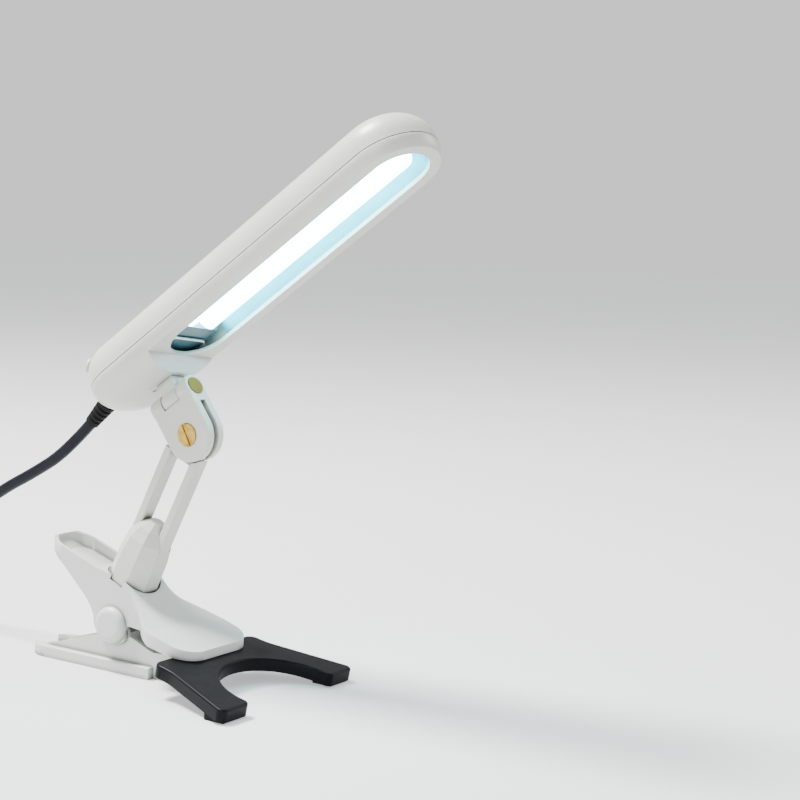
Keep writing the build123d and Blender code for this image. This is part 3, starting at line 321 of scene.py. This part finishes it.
@dataclass(frozen=True)
class Reflector:
    """Bright formed sheet round the tubes, with faint rolling lines; its cyan colour and faint glow
    are painted light from the tube, and its dark rear end is painted shade.
    """

    name: str = "reflector_sheet"
    # cyan of the bright and shade colours: painted light from the tube
    bright: Colour = (0.02, 0.26, 0.30)
    shade: Colour = (0.01, 0.18, 0.22)
    # near-black colour of the rear end: painted shade
    painted_rear_shade: Colour = (0.004, 0.018, 0.026)
    metal: float = 0.35
    # emission on the sheet, which is no lamp: painted light
    glow: float = 0.2
    painted_shade_behind: float = 0.006
    lit_ahead: float = 0.010

    def build(self) -> bpy.types.Material:
        """Make the material."""
        graph = Graph(self.name)
        lines = graph.noise(900.0, 3.0, stretch=(0.08, 1.0, 0.08))
        cloud = graph.clamp(graph.noise(22.0, 3.0), 0.35, 0.7)
        # darker towards the rear end behind the tube: painted shade
        axis = (cos(radians(HEAD_LEAN)), 0.0, sin(radians(HEAD_LEAN)))
        rear = Vector(axis).dot(Vector(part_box("uv_tube")[0]))
        lit = graph.reach(axis, rear - self.painted_shade_behind, rear + self.lit_ahead)
        tint = graph.blend(lit, self.painted_rear_shade, graph.blend(cloud, self.shade, self.bright))
        graph.set(
            Base_Color=tint,
            Metallic=self.metal,
            Roughness=0.32 + lines * 0.12,
            # the sheet glows in its own painted colour: painted light
            Emission_Color=tint,
            Emission_Strength=self.glow,
        )
        graph.bump(lines, 0.02 * MM, 0.4)
        return graph.material


@dataclass(frozen=True)
class Board:
    """A ballast board: green lacquer over copper tracks."""

    name: str = "circuit_board"
    lacquer: Colour = (0.03, 0.16, 0.07)
    track: Colour = (0.09, 0.30, 0.13)

    def build(self) -> bpy.types.Material:
        """Make the material."""
        graph = Graph(self.name)
        tracks = graph.clamp(graph.specks(420.0), 0.35, 0.4)
        weave = graph.noise(1500.0, 2.0)
        graph.set(
            Base_Color=graph.blend(tracks, self.lacquer, self.track),
            Roughness=0.3 + weave * 0.15,
            Coat_Weight=0.4,
        )
        graph.bump(tracks + weave * 0.3, 0.03 * MM)
        return graph.material


@dataclass(frozen=True)
class Floor:
    """The studio table: a pale matt sheet."""

    name: str = "studio_floor"
    shade: Colour = (0.49, 0.495, 0.50)
    light: Colour = (0.52, 0.52, 0.52)
    glow_tint: Colour = (0.95, 0.97, 1.0)
    glow: float = 0.46

    def build(self) -> bpy.types.Material:
        """Make the material."""
        graph = Graph(self.name)
        cloud = graph.noise(3.0, 2.0)
        graph.set(
            Base_Color=graph.blend(cloud, self.shade, self.light),
            Roughness=0.8 + cloud * 0.1,
            Specular_IOR_Level=0.1,
            Emission_Color=self.glow_tint,
            Emission_Strength=self.glow,
        )
        return graph.material


class Finish(Enum):
    """The finishes that the lamp's pieces take."""

    # in each plastic below, the third colour is what corners darken to: painted shade
    WHITE = MouldedPlastic(
        name="head_plastic",
        light=(0.47, 0.475, 0.435),
        shade=(0.43, 0.435, 0.395),
        crevice_shade=(0.05, 0.048, 0.04),
    )
    CLIP = MouldedPlastic(
        name="clip_plastic",
        light=(0.47, 0.485, 0.465),
        shade=(0.43, 0.445, 0.425),
        crevice_shade=(0.05, 0.051, 0.048),
    )
    # dark teal for the tube's caps and sockets: painted shade in the cavity and painted cyan light
    # from the tube
    TUBE_END_SHADE = MouldedPlastic(
        name="tube_end_painted_shade",
        light=(0.04, 0.11, 0.14),
        shade=(0.02, 0.07, 0.09),
        crevice_shade=(0.004, 0.018, 0.025),
    )
    BLACK = MouldedPlastic(
        name="fork_plastic",
        light=(0.004, 0.0045, 0.0055),
        shade=(0.0025, 0.0027, 0.0033),
        crevice_shade=(0.003, 0.003, 0.0035),
        roughness=0.34,
        grain_mm=0.012,
        coat=0.0,
        gloss=0.06,
    )
    BRASS = TurnedMetal(
        name="turned_brass",
        bright=(0.52, 0.35, 0.08),
        dull=(0.30, 0.19, 0.04),
        roughness=0.3,
    )
    # a darker copy of the brass: painted shade on the roll pin and nut
    SHADED_BRASS = TurnedMetal(
        name="shaded_brass",
        bright=(0.14, 0.13, 0.03),
        dull=(0.08, 0.075, 0.02),
        roughness=0.36,
    )
    STEEL = TurnedMetal(
        name="plated_steel",
        bright=(0.56, 0.57, 0.59),
        dull=(0.38, 0.39, 0.41),
        roughness=0.25,
    )
    RUBBER = Rubber(
        name="black_rubber",
        deep=(0.003, 0.003, 0.0035),
        bloom=(0.008, 0.0085, 0.009),
        roughness=0.6,
    )
    GREY = Rubber(
        name="grey_rubber",
        deep=(0.20, 0.21, 0.22),
        bloom=(0.27, 0.28, 0.29),
        roughness=0.62,
    )
    SHEATH = Rubber(
        name="cord_sheath",
        deep=(0.003, 0.004, 0.007),
        bloom=(0.007, 0.009, 0.014),
        roughness=0.4,
        pits=5200.0,
    )
    TUBE = LitGlass()
    SHEET = Reflector()
    BOARD = Board()
    FLOOR = Floor()


class Paint:
    """Builds each finish once and hands it out."""

    def __init__(self) -> None:
        """Start with nothing built."""
        self.made: dict[Finish, bpy.types.Material] = {}

    def of(self, finish: Finish) -> bpy.types.Material:
        """Return the material of a finish."""
        if finish not in self.made:
            self.made[finish] = finish.value.build()
        return self.made[finish]

    def dress(self, finish: Finish, *names: str) -> None:
        """Give the finish to CAD nodes.

        Args:
            finish: What they are made of.
            names: The nodes.
        """
        for name in names:
            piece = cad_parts[name]
            for slot in piece.material_slots:
                slot.material = self.of(finish)
            log.info("%s: %s", name, finish.value.name)


WELD_MM = 0.01
BEVEL_SEGMENTS = 2


def soften(name: str, width_mm: float, angle: float = 28.0) -> None:
    """Round a CAD node's sharp edges with modifiers.

    Args:
        name: The node.
        width_mm: The bevel's width.
        angle: Edges that turn by more than this many degrees are rounded.
    """
    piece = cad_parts[name]
    weld = piece.modifiers.new("weld", "WELD")
    weld.merge_threshold = WELD_MM * MM
    bevel = piece.modifiers.new("bevel", "BEVEL")
    bevel.width = width_mm * MM
    bevel.segments = BEVEL_SEGMENTS
    bevel.limit_method = "ANGLE"
    bevel.angle_limit = radians(angle)
    bevel.harden_normals = True


# ---------------------------------------------------------------- sub-assemblies
@dataclass(frozen=True)
class Clip:
    """Forked foot, the two sprung levers and their pivot, with edge radii in millimetres."""

    lower_edge: float = 0.45
    upper_edge: float = 0.55
    fork_edge: float = 0.3

    def build(self, paint: Paint) -> None:
        """Dress the clip's nodes."""
        paint.dress(Finish.BLACK, "fork_foot")
        paint.dress(Finish.RUBBER, "foot_pads")
        paint.dress(Finish.CLIP, "lower_lever", "upper_lever", "pivot_caps")
        paint.dress(Finish.GREY, "jaw_pad")
        paint.dress(Finish.STEEL, "fork_screws", "clip_pin", "clip_spring")
        soften("lower_lever", self.lower_edge)
        soften("upper_lever", self.upper_edge)
        soften("fork_foot", self.fork_edge)
        log.info("clip dressed")


@dataclass(frozen=True)
class Arm:
    """The faceted hub, the twin-rail arm and the knuckle with its brass fittings.

    Edge radii are in millimetres, and the hub's facets turn by 15 degrees or more.
    """

    hub_edge: float = 0.7
    hub_turn: float = 15.0
    rail_edge: float = 0.3
    knuckle_edge: float = 0.35
    lug_edge: float = 0.3

    def build(self, paint: Paint) -> None:
        """Dress the arm's nodes."""
        paint.dress(Finish.WHITE, "swivel_hub", "arm_frame", "knuckle", "head_lug")
        paint.dress(Finish.BRASS, "tilt_screw", "tilt_nut")
        # the roll pin and nut take the darker brass: painted shade
        paint.dress(Finish.SHADED_BRASS, "roll_pin", "roll_nut")
        paint.dress(Finish.STEEL, "swivel_screw", "swivel_washer", "friction_washers")
        soften("swivel_hub", self.hub_edge, self.hub_turn)
        soften("arm_frame", self.rail_edge)
        soften("knuckle", self.knuckle_edge)
        soften("head_lug", self.lug_edge)
        log.info("arm dressed")


@dataclass(frozen=True)
class Head:
    """The capsule head with its window, tube, ballast, button and cord grip.

    Edge radii are in millimetres, and only the shell's sharper edges are rounded.
    """

    shell_edge: float = 0.3
    shell_turn: float = 40.0
    cap_edge: float = 0.4
    socket_edge: float = 0.3

    def build(self, paint: Paint) -> None:
        """Dress the head's nodes."""
        paint.dress(Finish.WHITE, "head_lower_shell", "head_upper_shell")
        paint.dress(Finish.STEEL, "lug_screws", "shell_screws", "tube_bail")
        paint.dress(Finish.CLIP, "switch_button")
        paint.dress(Finish.BLACK, "switch_body", "ballast_parts")
        # the reflector's cyan, glow and dark rear end are painted light and painted shade
        paint.dress(Finish.SHEET, "reflector")
        paint.dress(Finish.TUBE, "uv_tube")
        # caps and sockets take a dark teal: painted shade and painted tube light
        paint.dress(Finish.TUBE_END_SHADE, "tube_cap", "tube_socket")
        paint.dress(Finish.BRASS, "tube_pins")
        paint.dress(Finish.BOARD, "ballast_board")
        paint.dress(Finish.RUBBER, "strain_relief")
        paint.dress(Finish.SHEATH, "inner_leads")
        soften("head_lower_shell", self.shell_edge, self.shell_turn)
        soften("tube_cap", self.cap_edge)
        soften("tube_socket", self.socket_edge)
        log.info("head dressed")


@dataclass(frozen=True)
class MainsLead:
    """The black lead: a free run down to the table, a coil, and a tail to the plug.

    Sizes are in millimetres, apart from its whole length, which is in metres.
    """

    diameter: float = 6.0
    coil_x: float = -322.0
    coil_y: float = -6.0
    outer: float = 39.0
    middle: float = 33.0
    inner: float = 27.0
    low: float = 3.9
    high: float = 9.9
    turns: float = 5.5
    per_turn: int = 14
    crossing: float = 0.14
    length: float = 1.45
    plug_edge: float = 0.5
    round_steps: int = 6
    line_steps: int = 8

    def run(self) -> list[Colour]:
        """Return the route from the head's cord grip to the coil."""
        start = self.exit()
        return [
            (start.x / MM, start.y / MM, start.z / MM),
            (-103.5, 3.0, 106.6),
            (-126.0, 2.4, 93.2),
            (-148.2, 1.6, 81.7),
            (-180.0, 2.6, 61.5),
            (-210.0, 8.0, 40.0),
            (-237.0, 16.0, 19.0),
            (-259.0, 24.0, 6.4),
            (-284.0, 30.6, self.low),
            (-304.0, 32.4, self.low),
        ]

    def exit(self) -> Vector:
        """Return where the lead leaves its grip, in metres."""
        return Vector((-85.49, 3.41, 124.24)) * MM

    def coil(self) -> list[Colour]:
        """Return the coil's turns: three inwards on the table, the rest outwards on them."""
        lanes = (self.outer, self.middle, self.inner, self.inner, self.middle, self.outer)
        points = []
        for step in range(round(self.turns * self.per_turn) + 1):
            lap, part = divmod(step / self.per_turn, 1.0)
            shift = min(max((part - 1.0) / self.crossing + 1.0, 0.0), 1.0)
            here = lanes[int(lap)]
            after = lanes[min(int(lap) + 1, len(lanes) - 1)]
            radius = here + (after - here) * shift
            height = self.low if lap < 2 else self.high
            if lap == 2:
                height = self.low + (self.high - self.low) * shift
            angle = pi / 2 + 2 * pi * (lap + part)
            points.append(
                (self.coil_x + radius * cos(angle), self.coil_y + radius * sin(angle), height)
            )
        return points

    def tail(self) -> list[Colour]:
        """Return the route from the coil to the plug."""
        side = self.coil_y - self.outer
        return [(-307.0, side, self.high), (-297.0, side - 0.5, 8.0), (-285.0, side - 1.0, 6.8)]

    def build(self, paint: Paint) -> bpy.types.Object:
        """Args:
            paint: The shared finishes.

        Returns:
            The lead's curve.
        """
        points = self.run() + self.coil() + self.tail()
        curve = bpy.data.curves.new("mains_lead", "CURVE")
        curve.dimensions = "3D"
        curve.bevel_depth = self.diameter / 2 * MM
        curve.bevel_resolution = self.round_steps
        curve.resolution_u = self.line_steps
        curve.use_fill_caps = True
        spline = curve.splines.new("NURBS")
        spline.points.add(len(points) - 1)
        for spot, point in zip(spline.points, points):
            spot.co = (*(value * MM for value in point), 1.0)
        spline.order_u = 3
        spline.use_endpoint_u = True
        lead = bpy.data.objects.new("mains_lead", curve)
        bpy.context.scene.collection.objects.link(lead)
        curve.materials.append(paint.of(Finish.SHEATH))
        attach(lead, "head")
        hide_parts("cord_lead", "cord_coil", "cord_tail")
        paint.dress(Finish.RUBBER, "cord_tie")
        paint.dress(Finish.BLACK, "plug_body")
        paint.dress(Finish.BRASS, "plug_pins")
        soften("plug_body", self.plug_edge)
        log.info("mains lead drawn")
        return lead


# ---------------------------------------------------------------- studio
@dataclass(frozen=True)
class SoftLight:
    """A square soft light that faces the lamp: place and side in metres, power in watts."""

    name: str
    place: Colour
    side: float
    power: float
    tint: Colour = (1.0, 1.0, 1.0)
    aim: Colour = (0.0, 0.0, 0.14)

    def hang(self) -> None:
        """Add the light to the scene."""
        lamp = bpy.data.lights.new(self.name, "AREA")
        lamp.size = self.side
        lamp.energy = self.power
        lamp.color = self.tint
        holder = bpy.data.objects.new(self.name, lamp)
        holder.location = self.place
        towards = Vector(self.aim) - Vector(self.place)
        holder.rotation_euler = towards.to_track_quat("-Z", "Y").to_euler()
        bpy.context.scene.collection.objects.link(holder)


@dataclass(frozen=True)
class Studio:
    """Pale floor, soft lights and the view, with angles in degrees and lengths in metres."""

    azimuth: float = 33.2
    elevation: float = 6.2
    roll: float = 2.05
    lens_mm: float = 81.0
    sensor_mm: float = 36.0
    eye: Colour = (0.55996, -0.68993, 0.24321)
    near_clip: float = 0.02
    floor_side: float = 12.0
    sky: float = 0.95
    key: SoftLight = SoftLight("key", (-0.8, -0.25, 1.6), 0.5, 150.0, (1.0, 0.99, 0.97))
    fill: SoftLight = SoftLight("fill", (0.3, -1.6, 0.55), 0.8, 16.0, (0.97, 0.99, 1.0))
    rim: SoftLight = SoftLight("rim", (0.9, 1.2, 0.9), 0.7, 14.0)

    def floor(self, paint: Paint) -> None:
        """Lay the floor under the lamp."""
        bpy.ops.object.select_all(action="DESELECT")
        bpy.ops.mesh.primitive_plane_add(size=self.floor_side, location=(0, 0, 0))
        sheet = bpy.context.object
        sheet.name = "studio_floor"
        sheet.data.materials.append(paint.of(Finish.FLOOR))

    def view(self) -> None:
        """Set up the camera."""
        turn, rise, lean = map(radians, (self.azimuth, self.elevation, self.roll))
        back = Vector((sin(turn) * cos(rise), -cos(turn) * cos(rise), sin(rise)))
        right = Vector((cos(turn), sin(turn), 0))
        up = back.cross(right)
        across = right * cos(lean) + up * sin(lean)
        upright = up * cos(lean) - right * sin(lean)
        camera = bpy.data.cameras.new("view")
        camera.lens = self.lens_mm
        camera.sensor_width = self.sensor_mm
        camera.clip_start = self.near_clip
        holder = bpy.data.objects.new("view", camera)
        turned = Matrix((across, upright, back)).transposed().to_4x4()
        holder.matrix_world = Matrix.Translation(self.eye) @ turned
        bpy.context.scene.collection.objects.link(holder)
        bpy.context.scene.camera = holder

    def build(self, paint: Paint) -> None:
        """Set up the whole studio."""
        self.view()
        self.floor(paint)
        for light in (self.key, self.fill, self.rim):
            light.hang()
        world = bpy.data.worlds.new("studio")
        world.use_nodes = True
        background = world.node_tree.nodes["Background"]
        background.inputs["Color"].default_value = (1.0, 1.0, 1.0, 1.0)
        background.inputs["Strength"].default_value = self.sky
        bpy.context.scene.world = world
        log.info("studio ready")


def main() -> None:
    """Build the view and the lead first, then dress the lamp."""
    logging.basicConfig(level=logging.INFO, format="%(name)s: %(message)s")
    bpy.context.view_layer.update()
    paint = Paint()
    Studio().build(paint)
    MainsLead().build(paint)
    Clip().build(paint)
    Arm().build(paint)
    Head().build(paint)


if __name__ == "__main__":
    main()
